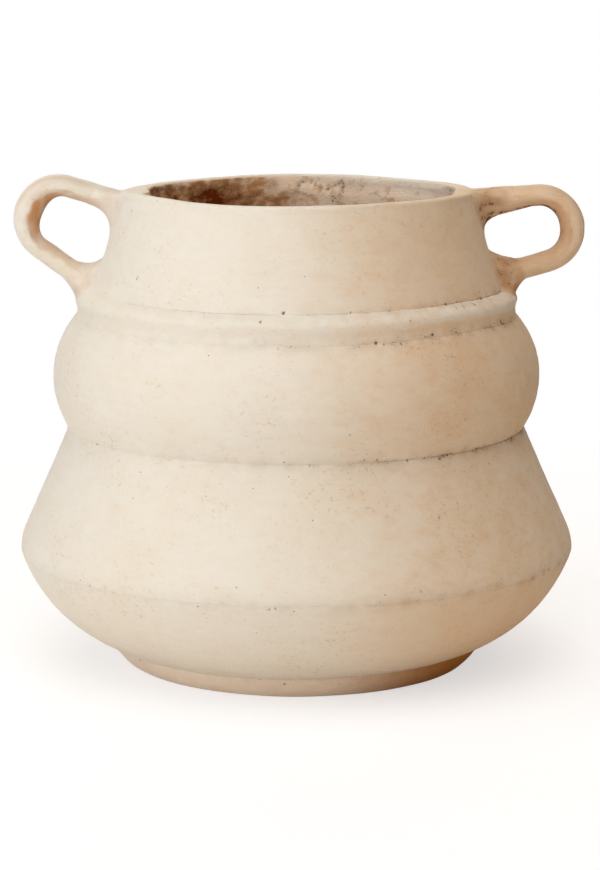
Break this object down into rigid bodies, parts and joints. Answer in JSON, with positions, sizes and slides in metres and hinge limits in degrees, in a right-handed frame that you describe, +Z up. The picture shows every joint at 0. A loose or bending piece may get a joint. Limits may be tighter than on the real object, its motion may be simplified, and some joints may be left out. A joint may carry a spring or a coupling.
{
  "type": "urn vase",
  "caption": "Wide matte earthenware urn vase on a low foot, with a keeled body, a bulging belly, a cordon round the neck and small loop handles at the rim.",
  "frame": {"origin": "middle of the standing plane, under the foot", "axes": "+Z up along the vase's axis, +X towards the lower handle, +Y to the back"},
  "size_m": [0.305, 0.2988, 0.2624],
  "materials": {
    "coated_clay": "matte clay coat, brushed and wiped",
    "luting_clay": "matte, rough and finger-smeared",
    "bare_clay": "matte, worn and stained",
    "inside_clay": "matte, rough and earth-stained"
  },
  "bodies": {
    "root": {"foot_ring": "bare_clay", "lower_bowl": "coated_clay", "shoulder_wall": "coated_clay", "belly_ring": "coated_clay", "neck_collar": "coated_clay", "cordon": "coated_clay", "left_handle": "coated_clay", "right_handle": "coated_clay", "left_upper_luting": "luting_clay", "left_lower_luting": "luting_clay", "right_upper_luting": "luting_clay", "right_lower_luting": "luting_clay", "keel_seam_coil": "inside_clay", "waist_seam_coil": "inside_clay", "neck_seam_coil": "inside_clay"}
  },
  "joints": []
}
